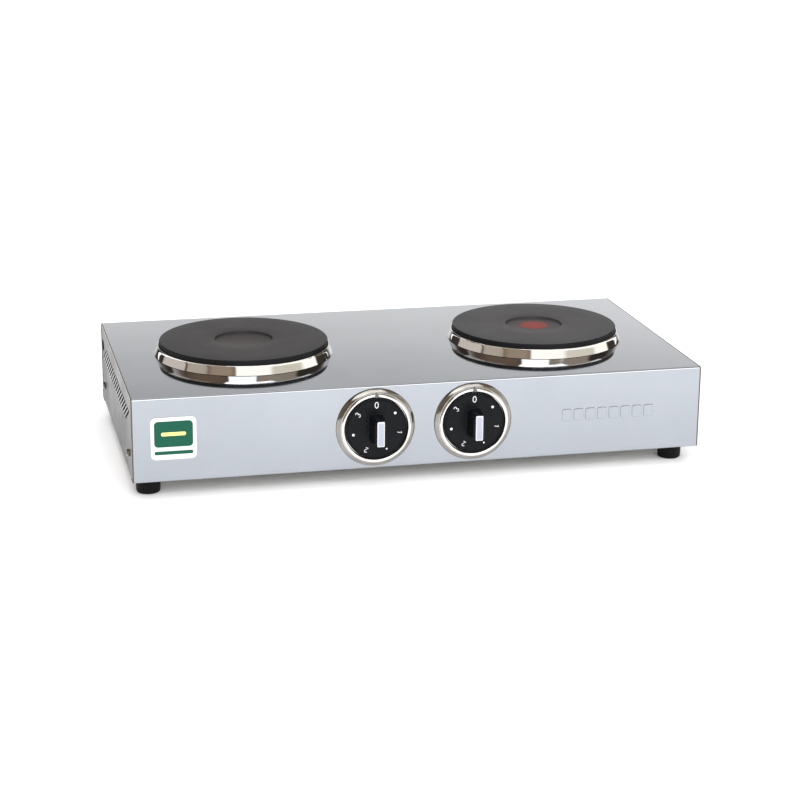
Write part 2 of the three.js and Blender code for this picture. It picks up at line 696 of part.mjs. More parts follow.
// A stepped moulded block with a front collar and rows of tab sockets in its back.
function switchShape() {
  const { width, height, depth, tabWidth, tabThickness, tabX, tabPitch } = SWITCH;
  const blind = 12;
  const body = solid(block(width, depth, height, 0, depth / 2, 0));
  const step = solid(block(width - 10, 6, height - 12, 0, depth + 2.5, 0));
  const bore = solid(rod(SHAFT_RADIUS + GAP, -THROUGH, blind, HIDDEN_SEGMENTS).rotateX(-Math.PI / 2));
  const screwHoles = [-CONTROL_SCREW_OFFSET, CONTROL_SCREW_OFFSET].map((offset) => {
    const hole = rod(CONTROL_SCREW_HOLE, -THROUGH, blind, HOLE_SEGMENTS).rotateX(-Math.PI / 2);
    return solid(hole.translate(offset, 0, 0));
  });
  const sockets = [-tabPitch, 0, tabPitch].flatMap((z) => {
    return [-tabX, tabX].map((x) => solid(block(tabWidth, 5, tabThickness, x, depth + 4.5, z)));
  });
  return without(body.add(step), [bore, ...screwHoles, ...sockets]);
}

function buildControls() {
  for (const [name, side] of SIDES) {
    const x = side * CONTROL_X;
    addSolid(`bezel_${name}`, bezelShape(), CHROME, x, FRONT_Y, CONTROL_Z);
    addSolid(`knob_${name}`, knobShape(), BLACK_PLASTIC, x, FRONT_Y, CONTROL_Z);
    add(`knob_insert_${name}`, insertShape(), WHITE_PLASTIC, x, FRONT_Y, CONTROL_Z);
    const shaft = rod(SHAFT_RADIUS, -THROUGH, SHAFT_TIP, ROD_SEGMENTS).rotateX(Math.PI / 2);
    add(`switch_shaft_${name}`, shaft, ZINC_STEEL, x, FRONT_Y, CONTROL_Z);
    addSolid(`switch_body_${name}`, switchShape(), PHENOLIC, x, INSIDE_FRONT_Y, CONTROL_Z);
    for (const [screwName, offset] of [['a', -CONTROL_SCREW_OFFSET], ['b', CONTROL_SCREW_OFFSET]]) {
      const screw = panScrew(SWITCH_SCREW).rotate([90, 0, 0]);
      const y = FRONT_Y - WEB.high - GAP;
      addSolid(`switch_screw_${screwName}_${name}`, screw, ZINC_STEEL, x + offset, y, CONTROL_Z);
    }
  }
}

// ---------------------------------------------------------------- mains entry

const GLAND_BORE = 5.5;
const GLAND_COLLAR = { radius: 13.5, thickness: 5 };
const GLAND_THREAD = { radius: 9.6, tip: 17, tail: -11 };
const LOCK_NUT = { corners: 14, thickness: 5 };
const MAINS_TERMINAL = { width: 54, depth: 24, height: 18, y: 100 };
const MAINS_WAY = { pitch: 18, bore: 3, screwWell: 2.6, wellY: 7, wellFloor: 12 };
const EARTH_BOLT = { radius: 2.4, length: 16, corners: 5.2, head: 4.2, x: 60, y: 110 };

function glandBody() {
  return turnedBackward(
    [
      [GLAND_BORE, GLAND_THREAD.tail],
      [GLAND_HOLE - GAP, GLAND_THREAD.tail],
      [GLAND_HOLE - GAP, GAP],
      [GLAND_COLLAR.radius, GAP],
      [GLAND_COLLAR.radius, GLAND_COLLAR.thickness],
      [GLAND_THREAD.radius, GLAND_COLLAR.thickness],
      [GLAND_THREAD.radius, GLAND_THREAD.tip],
      [GLAND_BORE, GLAND_THREAD.tip],
      [GLAND_BORE, GLAND_THREAD.tail],
    ],
    HIDDEN_SEGMENTS,
  );
}

function glandNut() {
  const inner = GLAND_THREAD.radius + GAP;
  const outer = GLAND_COLLAR.radius - GAP;
  const low = GLAND_COLLAR.thickness + GAP;
  return turnedBackward(
    [
      [inner, low],
      [outer, low],
      [outer, GLAND_THREAD.tip],
      [outer - 1.7, GLAND_THREAD.tip + 5],
      ...arcPoints(GLAND_BORE + 1.5, CONTROL_REACH - 3, 3, 50, 90, 2),
      [GLAND_BORE, CONTROL_REACH],
      [GLAND_BORE, GLAND_THREAD.tip + 3],
      [inner, GLAND_THREAD.tip + 0.4],
      [inner, low],
    ],
    HIDDEN_SEGMENTS,
  );
}

function mainsTerminal() {
  const { width, depth, height } = MAINS_TERMINAL;
  const { pitch, bore, screwWell, wellY, wellFloor } = MAINS_WAY;
  const body = solid(block(width, depth, height, 0, 0, height / 2));
  const bores = [-pitch, 0, pitch].map((x) => {
    return solid(rod(bore, -depth, depth, SCREW_SEGMENTS).rotateX(Math.PI / 2).translate(x, 0, 7));
  });
  const screwWells = [-pitch, 0, pitch].flatMap((x) => {
    return [-wellY, wellY].map((y) => solid(rod(screwWell, wellFloor, height + 6, 6).translate(x, y, 0)));
  });
  return without(body, [...bores, ...screwWells]);
}

function earthBolt() {
  const { radius, length, corners, head } = EARTH_BOLT;
  const hexHead = new THREE.CylinderGeometry(corners, corners, head, 6).rotateX(Math.PI / 2);
  const shank = solid(rod(radius, head / 2, length, HOLE_SEGMENTS));
  return shank.add(solid(hexHead.translate(0, 0, head / 2)));
}

function buildMainsEntry() {
  add('cable_gland', glandBody(), GLAND_NYLON, 0, REAR_Y, GLAND_Z);
  add('gland_nut', glandNut(), GLAND_NYLON, 0, REAR_Y, GLAND_Z);
  const lockNut = hexNut(LOCK_NUT.corners, GLAND_HOLE, -LOCK_NUT.thickness, 0).rotate([-90, 0, 0]);
  addSolid('gland_lock_nut', lockNut, ZINC_STEEL, 0, INSIDE_REAR_Y, GLAND_Z);
  const trayTop = TRAY_Z + SHEET + GAP;
  addSolid('mains_terminal', mainsTerminal(), CERAMIC, 0, MAINS_TERMINAL.y, trayTop);
  addSolid('earth_bolt', earthBolt(), ZINC_STEEL, EARTH_BOLT.x, EARTH_BOLT.y, trayTop);
}

// ---------------------------------------------------------------- wiring looms

const LOOM_RADIUS = 2.6;
const LOOM_STEPS = 12;

function loom(points) {
  const path = new THREE.CatmullRomCurve3(points.map(([x, y, z]) => new THREE.Vector3(x, y, z)));
  const outline = arcPoints(0, 0, LOOM_RADIUS, 0, 300, 5);
  const settings = { steps: LOOM_STEPS, extrudePath: path, bevelEnabled: false };
  return new THREE.ExtrudeGeometry(shapeOf(outline), settings);
}

function buildLooms() {
  const switchBack = INSIDE_FRONT_Y + SWITCH.depth + 9;
  const terminalTop = TOP_Z + COVER_BOTTOM - 9;
  for (const [name, side] of SIDES) {
    const supply = [
      [side * 9, 84, 36],
      [side * 14, 50, 34],
      [side * 34, -30, 40],
      [side * 47, -90, 58],
      [side * CONTROL_X, switchBack, 62],
    ];
    add(`supply_loom_${name}`, loom(supply), GLASS_SLEEVE);
    const heater = [
      [side * (CONTROL_X + 6), switchBack, 73],
      [side * (CONTROL_X + 12), -88, 74],
      [side * (CONTROL_X + 24), -30, 82],
      [side * (PLATE_X - 70), -5, terminalTop],
      [side * (PLATE_X - 59), 0, terminalTop],
    ];
    add(`heater_loom_${name}`, loom(heater), GLASS_SLEEVE);
  }
}

// ---------------------------------------------------------------- front label

const LABEL = { x: -258, z: FLOOR_Z + 45.5, width: 46, height: 44, corner: 5, thickness: 0.25 };

function buildLabel() {
  const outline = roundedRectangle(LABEL.width, LABEL.height, LABEL.corner, 4);
  const plate = layForward(extruded(outline, LABEL.thickness));
  add('front_label', plate, STICKER, LABEL.x, FRONT_Y - GAP, LABEL.z);
}

// ---------------------------------------------------------------- assembly

buildHousing();
buildSidePanels();
buildBaseTray();
buildFeet();
buildSideScrews();
buildHotPlates();
buildControls();
buildMainsEntry();
buildLooms();
buildLabel();

export default group;
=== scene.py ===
"""Looks for the twin boiling hot plate. Everything is in metres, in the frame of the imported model."""
import json
import math

import bmesh
import bpy
from mathutils import Matrix, Vector


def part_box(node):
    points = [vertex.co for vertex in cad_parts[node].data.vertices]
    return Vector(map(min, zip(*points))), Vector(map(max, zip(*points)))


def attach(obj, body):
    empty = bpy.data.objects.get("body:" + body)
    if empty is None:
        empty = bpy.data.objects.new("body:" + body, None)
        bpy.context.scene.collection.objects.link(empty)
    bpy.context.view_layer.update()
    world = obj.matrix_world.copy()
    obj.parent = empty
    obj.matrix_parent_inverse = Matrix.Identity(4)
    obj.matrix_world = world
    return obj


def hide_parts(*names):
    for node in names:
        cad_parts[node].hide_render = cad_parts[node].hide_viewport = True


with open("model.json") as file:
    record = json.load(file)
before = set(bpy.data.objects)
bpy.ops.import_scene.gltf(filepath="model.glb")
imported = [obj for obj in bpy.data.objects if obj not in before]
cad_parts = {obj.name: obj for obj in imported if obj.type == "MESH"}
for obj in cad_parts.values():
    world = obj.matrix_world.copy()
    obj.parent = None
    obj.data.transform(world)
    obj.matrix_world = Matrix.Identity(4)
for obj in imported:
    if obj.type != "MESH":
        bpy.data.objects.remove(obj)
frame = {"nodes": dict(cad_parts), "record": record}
bpy.context.view_layer.update()
NODES = frame["nodes"]
MM = 0.001
SIDES = ("left", "right")
BODIES = frame["record"]["behaviour"]["bodies"]
NODE_BODY = {node: body for body, nodes in BODIES.items() for node in nodes}

# ------------------------------------------------------------------ places from the frame


def middle(node):
    low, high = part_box(node)
    return (Vector(low) + Vector(high)) / 2


BOX_LOW, BOX_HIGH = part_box("housing")
TOP_Z = BOX_HIGH[2]
FOOT_Z = BOX_LOW[2]
END_X = BOX_HIGH[0]
SHEET = 1.5 * MM
FRONT_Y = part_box("side_panel_left")[0][1] - SHEET
PANEL_X = END_X - 0.4 * MM

# ------------------------------------------------------------------ sizes in millimetres

PLATE_RADIUS = 90
PLATE_RISE = 15
PLATE_UNDER = 1.4
PLATE_CORE_RADIUS = 84
RECESS_RADIUS = 31
RECESS_DEPTH = 2
SPOT_RADIUS = 16
RING_BASE = 95
RING_INNER = 87
GAP = 0.3
BEZEL_RADIUS = 41.2
LIP_RADIUS = 36.6
HUB_RADIUS = 8
DIAL_RADIUS = 32.2
DIAL_FACE = 5.6
GRIP_FOOT = (15.5, 30.0)
GRIP_TOP = 26.5
GRIP_FLARE = 0.8
GRIP_ROUND = 1.4
GRIP_LEAN = 0.16
STRIP_SEAT = (8.6, 27.1)
# Height, width, length and corner radius, from the strip's underside to its face.
STRIP_LEVELS = (
    (25.6, 7.2, 25.9, 0.9), (25.8, 7.6, 26.3, 1.0), (26.6, 7.6, 26.3, 1.0), (26.85, 7.4, 26.1, 0.9),
    (27, 6.9, 25.6, 0.7),
)
NOTCH = ((-4.0, 31.7), (4.0, 31.7), (0, 38.4))
INLAY = ((-3.5, 32.8), (3.5, 32.8), (0, 38.0))
MARK_RADIUS = 24.8
DIAL_MARKS = ("0", ".", "1", ".", "2", ".", "3")
DOT_RADIUS = {1: 1.4, 2: 0.95, 3: 1.4}
STROKE = 0.44
PRINT_FLATNESS = 0.14
NUMERAL_SCALE = {"0": 0.97, "1": 0.74, "2": 0.76, "3": 0.86}

# ------------------------------------------------------------------ camera and lights

CAMERA_AT = Vector((-0.49295, -2.10537, 0.6962))
CAMERA_AZIMUTH = math.radians(-13.46)
CAMERA_ELEVATION = math.radians(16.78)
CAMERA_ROLL = math.radians(0.54)
CAMERA_LENS = 92.45
CAMERA_SENSOR = 36


def make_camera():
    a, e, roll = CAMERA_AZIMUTH, CAMERA_ELEVATION, CAMERA_ROLL
    back = Vector((math.sin(a) * math.cos(e), -math.cos(a) * math.cos(e), math.sin(e)))
    right = (-back).cross(Vector((0, 0, 1))).normalized()
    up = back.cross(right)
    tilted_right = math.cos(roll) * right + math.sin(roll) * up
    tilted_up = -math.sin(roll) * right + math.cos(roll) * up
    data = bpy.data.cameras.new("camera")
    data.lens = CAMERA_LENS
    data.sensor_width = CAMERA_SENSOR
    camera = bpy.data.objects.new("camera", data)
    bpy.context.scene.collection.objects.link(camera)
    turn = Matrix((tilted_right, tilted_up, back)).transposed().to_4x4()
    camera.matrix_world = Matrix.Translation(CAMERA_AT) @ turn
    bpy.context.scene.camera = camera


# Name, strength, spread, and the turn away from straight overhead, in degrees.
FILLS = (
    ("overhead_fill", 1.9, 80, (0, 0, 0)),
    ("front_fill", 2.86, 34, (58, 0, -6)),
)
FILL_COLOUR = (0.975, 0.985, 1.0)
FLOOR_GLOW = 0.01
FLOOR_SIZE = 60


def make_fills():
    """The wide lights that whiten the floor and reach under the box; they show in no reflection."""
    for name, strength, spread, turned in FILLS:
        data = bpy.data.lights.new(name, "SUN")
        data.energy = strength
        data.color = FILL_COLOUR
        data.angle = math.radians(spread)
        light = bpy.data.objects.new(name, data)
        bpy.context.scene.collection.objects.link(light)
        light.rotation_euler = [math.radians(degrees) for degrees in turned]
        light.visible_glossy = False


ROOM_DARK = (0.045, 0.036, 0.03, 1.0)
# Azimuth from and to, elevation from and to and the softness of each, then the light's colour there.
STUDIO = (
    ((-121, -78, -5, 40, 2, 5), (0.62, 0.56, 0.52)),
    ((-75, -45, -5, 40, 2, 5), (0.47, 0.415, 0.355)),
    ((-45, -6, -5, 33, 10, 3), (0.33, 0.26, 0.20)),
    ((-6, 113, -5, 34, 2, 3), (1.25, 1.22, 1.17)),
    ((42, 88, 14, 31, 5, 3), (0.72, 0.68, 0.59)),
    ((-100, -24, 36, 90, 25, 6), (0.20, 0.135, 0.095)),
    ((28, 98, 36, 90, 4, 6), (0.40, 0.32, 0.25)),
    ((-24, 28, 48, 72, 2, 2), (1.9, 1.88, 1.84)),
    ((-24, 13, 33, 50, 2, 2), (3.2, 3.18, 3.12)),
    ((13, 52, 36, 54, 2, 2), (2.6, 2.58, 2.55)),
    ((-30, 48, 72, 90, 20, 8), (0.45, 0.44, 0.42)),
    ((115, 165, 13, 30, 3, 3), (0.16, 0.14, 0.125)),
    ((-165, -121, 13, 30, 3, 3), (0.16, 0.14, 0.125)),
    ((100, 165, 62, 90, 8, 4), (0.50, 0.50, 0.49)),
    ((-165, -100, 62, 90, 8, 4), (0.50, 0.50, 0.49)),
)
# Elevation in degrees, then the light's colour there, on the side away from the camera.
BACKDROP = (
    (0, (1.00, 0.98, 0.96)),
    (13.2, (0.98, 0.96, 0.93)),
    (14.6, (0.86, 0.84, 0.81)),
    (15.6, (0.68, 0.665, 0.645)),
    (16.9, (0.53, 0.52, 0.505)),
    (20, (0.44, 0.435, 0.425)),
    (26, (0.62, 0.61, 0.60)),
    (90, (0.66, 0.66, 0.66)),
)
# How far round from the camera's side the backdrop fades in, in degrees.
BACKDROP_SIDE = (146, 160)
# How the backdrop is scaled at its left and at its right, and how far out those two lie.
BACKDROP_LIFT = (0.97, 1.09)
BACKDROP_REACH = 0.15


# ------------------------------------------------------------------ node helpers


class Nodes:
    """A small builder for one material's or world's node tree."""

    def __init__(self, tree):
        self.tree = tree
        tree.nodes.clear()

    def add(self, kind, **settings):
        node = self.tree.nodes.new(kind)
        for key, value in settings.items():
            setattr(node, key, value)
        return node

    def link(self, source, target):
        self.tree.links.new(source, target)

    def set(self, node, **values):
        for key, value in values.items():
            socket = node.inputs[key.replace("_", " ")]
            if isinstance(value, bpy.types.NodeSocket):
                self.link(value, socket)
            else:
                socket.default_value = value
        return node

    def coordinates(self, scale=(1, 1, 1), offset=(0, 0, 0)):
        source = self.add("ShaderNodeTexCoord")
        mapping = self.add("ShaderNodeMapping")
        mapping.inputs["Scale"].default_value = scale
        mapping.inputs["Location"].default_value = offset
        self.link(source.outputs["Object"], mapping.inputs["Vector"])
        return mapping.outputs["Vector"]

    def axes(self, vector):
        node = self.add("ShaderNodeSeparateXYZ")
        self.link(vector, node.inputs[0])
        return node.outputs

    def distance(self, first, second):
        """How far a point is from an axis, from its two offsets."""
        squares = [self.math("POWER", offset, 2.0) for offset in (first, second)]
        return self.math("SQRT", self.math("ADD", *squares))

    def noise(self, vector, scale, detail=3.0, roughness=0.5):
        node = self.add("ShaderNodeTexNoise")
        self.set(node, Vector=vector, Scale=scale, Detail=detail, Roughness=roughness)
        return node.outputs["Fac"]

    def ramp(self, value, low, high, start=0.0, end=1.0):
        node = self.add("ShaderNodeMapRange")
        node.inputs["Value"].default_value = 0.5
        if isinstance(value, bpy.types.NodeSocket):
            self.link(value, node.inputs["Value"])
        node.inputs["From Min"].default_value = low
        node.inputs["From Max"].default_value = high
        node.inputs["To Min"].default_value = start
        node.inputs["To Max"].default_value = end
        return node.outputs["Result"]

    def smooth(self, value, low, high, start=0.0, end=1.0):
        result = self.ramp(value, low, high, start, end)
        result.node.interpolation_type = "SMOOTHSTEP"
        return result

    def math(self, operation, a, b=0.0):
        node = self.add("ShaderNodeMath", operation=operation)
        for socket, value in zip(node.inputs, (a, b)):
            if isinstance(value, bpy.types.NodeSocket):
                self.link(value, socket)
            else:
                socket.default_value = value
        return node.outputs["Value"]

    def mix(self, factor, a, b):
        node = self.add("ShaderNodeMix", data_type="RGBA")
        for socket, value in zip((node.inputs[0], node.inputs[6], node.inputs[7]), (factor, a, b)):
            if isinstance(value, bpy.types.NodeSocket):
                self.link(value, socket)
            else:
                socket.default_value = value
        return node.outputs[2]

    def bump(self, height, strength, distance, normal=None):
        node = self.add("ShaderNodeBump")
        node.inputs["Strength"].default_value = strength
        node.inputs["Distance"].default_value = distance
        self.link(height, node.inputs["Height"])
        if normal is not None:
            self.link(normal, node.inputs["Normal"])
        return node.outputs["Normal"]


def rgb(r, g, b):
    return (r, g, b, 1.0)


def new_material(name):
    material = bpy.data.materials.new(name)
    material.use_nodes = True
    nodes = Nodes(material.node_tree)
    shader = nodes.add("ShaderNodeBsdfPrincipled")
    output = nodes.add("ShaderNodeOutputMaterial")
    nodes.link(shader.outputs["BSDF"], output.inputs["Surface"])
    return material, nodes, shader


def dress(obj, material):
    obj.data.materials.clear()
    obj.data.materials.append(material)


# ------------------------------------------------------------------ materials

# How each plate's iron is tinted and how glossy its face is.
IRON_LOOK = {"left": ((0.80, 0.78, 0.82), 0.17), "right": ((0.98, 1.0, 1.06), 0.25)}
WALL_GLOSS = 0.18

EDGE_BLUR = 0.25 * MM
# Bands below the top sheet, in millimetres: the painted shade of the walls ends at the fold in the first,
# and a painted highlight along the fold's crest fades in over the second and out over the third.
FOLD_BAND = (1.0, 0.3)
CREST_FOOT = (2.3, 1.9)
CREST_HEAD = (0.35, 0.15)
# How far the painted highlight lifts the shade along the fold's crest.
PAINTED_CREST_LIFT = 0.26
SHEET_WAVE = 0.05


def scaled(colour, factor):
    return [c * factor for c in colour]


def stainless(name, colour, roughness, lines, edge_from, edge_shade_and_highlight, shades, grazing=1.0):
    """Rolled stainless sheet: fine lengthwise brushing, faint smudges, a slight wave.

    Past edge_from, counted outward from the middle of the box, the metal takes the edge colour: on the
    housing dark cut edges with painted shade of the seams, on the side panels a painted highlight on the
    vent lips that stand out past the panel face.
    A grazing value below one dulls the sheet where it is seen along its face.
    The two shades are painted shade: the walls darken from the second at the fold to the first at the
    foot, and a painted highlight brightens the fold's crest."""
    low_shade, high_shade = shades
    material, nodes, shader = new_material(name)

    def below_top(band):
        start, end = band
        return nodes.ramp(axes["Z"], TOP_Z - start * MM, TOP_Z - end * MM)

    brushed = nodes.noise(nodes.coordinates((9, 900, 900)), 2.0, 4.0)
    smudge = nodes.noise(nodes.coordinates((1, 1, 1)), 11.0, 4.0, 0.6)
    swell = nodes.noise(nodes.coordinates((1, 2.2, 2.2), (3, 1, 0)), 3.1, 1.0)
    tint = nodes.mix(nodes.ramp(smudge, 0.35, 0.7), rgb(*scaled(colour, 0.935)), rgb(*colour))
    streaked = nodes.mix(nodes.ramp(brushed, 0.3, 0.7), tint, rgb(*scaled(colour, 0.94)))
    axes = nodes.axes(nodes.coordinates())
    outward = nodes.math("ABSOLUTE", axes["X"])
    sheet = nodes.mix(0.35, tint, streaked)
    # Past the edge mark: dark cut edges with painted seam shade on the housing, a painted highlight on the
    # side panels' vent lips.
    edge = nodes.ramp(outward, edge_from, edge_from + EDGE_BLUR)
    # Painted shade: the walls darken from the fold down to the foot, and the top sheet is lifted back to
    # full.
    rise = nodes.ramp(axes["Z"], FOOT_Z, TOP_Z, low_shade, high_shade)
    level = below_top(FOLD_BAND)
    # Painted highlight along the crest just under the fold.
    painted_crest = nodes.math("SUBTRACT", below_top(CREST_FOOT), below_top(CREST_HEAD))
    top_lift = nodes.math("MULTIPLY", level, 1.0 - high_shade)
    crest_lift = nodes.math("MULTIPLY", painted_crest, PAINTED_CREST_LIFT)
    shade = nodes.math("ADD", rise, nodes.math("ADD", top_lift, crest_lift))
    shaded = nodes.add("ShaderNodeVectorMath", operation="SCALE")
    nodes.link(sheet, shaded.inputs[0])
    nodes.link(shade, shaded.inputs["Scale"])
    nodes.link(nodes.mix(edge, shaded.outputs[0], rgb(*edge_shade_and_highlight)), shader.inputs["Base Color"])
    smudged = nodes.ramp(smudge, 0.35, 0.75, roughness * 0.8, roughness * 1.35)
    grained = nodes.ramp(brushed, 0.3, 0.7, -roughness * 0.15, roughness * 0.15)
    nodes.link(nodes.math("ADD", smudged, grained), shader.inputs["Roughness"])
    shader.inputs["Metallic"].default_value = 1.0
    shader.inputs["Specular Tint"].default_value = rgb(grazing, grazing, grazing)
    fine = nodes.bump(brushed, lines, 0.00004)
    nodes.link(nodes.bump(swell, SHEET_WAVE, 0.0012, fine), shader.inputs["Normal"])
    return material


def chrome(name, colour=(0.86, 0.85, 0.83)):
    material, nodes, shader = new_material(name)
    smudge = nodes.noise(nodes.coordinates(), 28.0, 5.0, 0.62)
    tint = nodes.mix(nodes.ramp(smudge, 0.35, 0.75), rgb(*scaled(colour, 0.93)), rgb(*colour))
    nodes.link(tint, shader.inputs["Base Color"])
    nodes.link(nodes.ramp(smudge, 0.4, 0.75, 0.035, 0.11), shader.inputs["Roughness"])
    shader.inputs["Metallic"].default_value = 1.0
    ripple = nodes.noise(nodes.coordinates((1, 1, 1), (5, 2, 1)), 55.0, 1.0)
    nodes.link(nodes.bump(ripple, 0.12, 0.0004), shader.inputs["Normal"])
    return material


def bezel_metal(name, centre):
    """A satin flange round a polished lip, by distance from the control's axis."""
    material, nodes, shader = new_material(name)
    axes = nodes.axes(nodes.coordinates((1, 1, 1), (-centre.x, 0, -centre.z)))
    radius = nodes.distance(axes["X"], axes["Z"])
    smudge = nodes.noise(nodes.coordinates(), 60.0, 5.0, 0.62)
    flange = nodes.ramp(radius, (LIP_RADIUS + 0.1) * MM, (LIP_RADIUS + 0.3) * MM)
    blot = nodes.ramp(smudge, 0.35, 0.7)
    satin = nodes.mix(blot, rgb(0.28, 0.27, 0.25), rgb(0.35, 0.34, 0.32))
    bright = nodes.mix(blot, rgb(0.86, 0.85, 0.83), rgb(0.92, 0.91, 0.9))
    nodes.link(nodes.mix(flange, bright, satin), shader.inputs["Base Color"])
    polish = nodes.ramp(smudge, 0.35, 0.75, 0.05, 0.10)
    rough = nodes.math("ADD", polish, nodes.math("MULTIPLY", flange, 0.06))
    nodes.link(rough, shader.inputs["Roughness"])
    shader.inputs["Metallic"].default_value = 1.0
    ripple = nodes.noise(nodes.coordinates((1, 1, 1), (5, 2, 1)), 70.0, 1.0)
    nodes.link(nodes.bump(ripple, 0.1, 0.0004), shader.inputs["Normal"])
    return material


def insert_white(name, at):
    """A pale lilac strip whose edges show whiter."""
    material, nodes, shader = new_material(name)
    axes = nodes.axes(nodes.coordinates((1, 1, 1), (-at.x, 0, -at.z)))
    across = nodes.ramp(nodes.math("ABSOLUTE", axes["X"]), 2.5 * MM, 3.5 * MM)
    along = nodes.ramp(nodes.math("ABSOLUTE", axes["Z"]), 11.6 * MM, 12.7 * MM)
    cloud = nodes.noise(nodes.coordinates(), 300.0, 4.0, 0.6)
    middle_tone = nodes.mix(nodes.ramp(cloud, 0.35, 0.68), rgb(0.31, 0.33, 0.40), rgb(0.33, 0.35, 0.42))
    whiter_edges = nodes.math("MAXIMUM", across, along)
    nodes.link(nodes.mix(whiter_edges, middle_tone, rgb(0.60, 0.60, 0.59)), shader.inputs["Base Color"])
    nodes.link(nodes.ramp(cloud, 0.3, 0.7, 0.36, 0.46), shader.inputs["Roughness"])
    shader.inputs["Specular IOR Level"].default_value = 0.3
    nodes.link(nodes.bump(nodes.noise(nodes.coordinates(), 900.0), 0.06, 0.0003), shader.inputs["Normal"])
    return material


# Half width, middle above the label's own, half height and corner of each printed box, in metres.
GREEN_FIELD = (0.0195, 0.0045, 0.0135, 0.004)
PALE_BAR = (0.0125, 0.0045, 0.0019, 0.0018)
GREEN_BAR = (0.0195, -0.0150, 0.0019, 0.0018)


def label_print(name, low, high):
    """A white film printed with a plain green field, a pale bar across it and a green bar below."""
    material, nodes, shader = new_material(name)
    middle_x, middle_z = (low[0] + high[0]) / 2, (low[2] + high[2]) / 2
    axes = nodes.axes(nodes.coordinates((1, 1, 1), (-middle_x, 0, -middle_z)))
    x, z = nodes.math("ABSOLUTE", axes["X"]), axes["Z"]

    def box(half_width, centre, half_height, corner):
        wide = nodes.math("MAXIMUM", nodes.math("SUBTRACT", x, half_width - corner), 0.0)
        offset = nodes.math("ABSOLUTE", nodes.math("SUBTRACT", z, centre))
        tall = nodes.math("MAXIMUM", nodes.math("SUBTRACT", offset, half_height - corner), 0.0)
        return nodes.ramp(nodes.distance(wide, tall), corner - 0.1 * MM, corner + 0.1 * MM, 1.0, 0.0)

    fleck = nodes.noise(nodes.coordinates(), 900.0, 3.0)
    speck = nodes.ramp(fleck, 0.3, 0.7)
    film = nodes.mix(speck, rgb(0.58, 0.59, 0.585), rgb(0.62, 0.635, 0.63))
    green = nodes.mix(speck, rgb(0.002, 0.062, 0.036), rgb(0.003, 0.074, 0.044))
    printed = nodes.mix(box(*GREEN_FIELD), film, green)
    printed = nodes.mix(box(*PALE_BAR), printed, rgb(0.72, 0.66, 0.22))
    printed = nodes.mix(box(*GREEN_BAR), printed, green)
    nodes.link(printed, shader.inputs["Base Color"])
    shader.inputs["Specular IOR Level"].default_value = 0.25
    nodes.link(nodes.ramp(fleck, 0.3, 0.7, 0.3, 0.42), shader.inputs["Roughness"])
    nodes.link(nodes.bump(fleck, 0.05, 0.0002), shader.inputs["Normal"])
    return material


def cast_iron(name, centre, shade, gloss):
    """Heat-blackened cast iron: fine grain, faint turned rings, a browned middle and a near-black wall,
    dark iron deepened with painted shade.
    """

    def tone(r, g, b):
        return rgb(*[c * s for c, s in zip((r, g, b), shade)])

    material, nodes, shader = new_material(name)
    axes = nodes.axes(nodes.coordinates((1, 1, 1), (-centre.x, -centre.y, 0)))
    radius = nodes.distance(axes["X"], axes["Y"])
    grain = nodes.noise(nodes.coordinates(), 900.0, 3.0, 0.6)
    cloud = nodes.noise(nodes.coordinates((1, 1, 1), (2, 4, 0)), 18.0, 5.0, 0.6)
    wobble = nodes.math("ADD", radius, nodes.ramp(cloud, 0, 1, -0.0006, 0.0006))
    rings = nodes.math("SINE", nodes.math("MULTIPLY", wobble, 5200.0))
    heated = nodes.ramp(radius, 12 * MM, 85 * MM)
    browned = nodes.mix(heated, tone(0.022, 0.017, 0.016), tone(0.017, 0.017, 0.019))
    mottled = nodes.mix(nodes.ramp(cloud, 0.38, 0.68, 0.0, 0.6), browned, tone(0.026, 0.025, 0.027))
    speckled = nodes.mix(nodes.ramp(grain, 0.5, 0.72, 0.0, 0.3), mottled, tone(0.05, 0.048, 0.048))
    wall = nodes.ramp(radius, (PLATE_RADIUS - 1.1) * MM, (PLATE_RADIUS - 0.7) * MM)
    nodes.link(nodes.ramp(wall, 0.0, 1.0, gloss, WALL_GLOSS), shader.inputs["Specular IOR Level"])
    # The wall's near-black is dark iron deepened with painted shade.
    nodes.link(nodes.mix(wall, speckled, rgb(0.006, 0.006, 0.007)), shader.inputs["Base Color"])
    patchy = nodes.ramp(cloud, 0.35, 0.7, 0.40, 0.47)
    rough = nodes.math("ADD", patchy, nodes.ramp(rings, -1, 1, -0.02, 0.02))
    nodes.link(rough, shader.inputs["Roughness"])
    pitted = nodes.bump(grain, 0.35, 0.00025)
    nodes.link(nodes.bump(rings, 0.06, 0.00006, pitted), shader.inputs["Normal"])
    return material


def coated(name, colour, roughness, speck, bump_scale, bump_strength, metallic=0.0, specular=0.5):
    """A painted, moulded or glazed surface: slight mottling, a roughness that varies and a fine skin."""
    material, nodes, shader = new_material(name)
    cloud = nodes.noise(nodes.coordinates(), bump_scale * 0.12, 4.0, 0.6)
    skin = nodes.noise(nodes.coordinates((1, 1, 1), (1, 5, 2)), bump_scale, 3.0, 0.55)
    dark = rgb(*scaled(colour, 1 - speck))
    light = rgb(*[min(c, 1.0) for c in scaled(colour, 1 + speck)])
    nodes.link(nodes.mix(nodes.ramp(cloud, 0.35, 0.68), dark, light), shader.inputs["Base Color"])
    nodes.link(nodes.ramp(cloud, 0.3, 0.7, roughness * 0.85, roughness * 1.15), shader.inputs["Roughness"])
    shader.inputs["Metallic"].default_value = metallic
    shader.inputs["Specular IOR Level"].default_value = specular
    nodes.link(nodes.bump(skin, bump_strength, 0.0003), shader.inputs["Normal"])
    return material


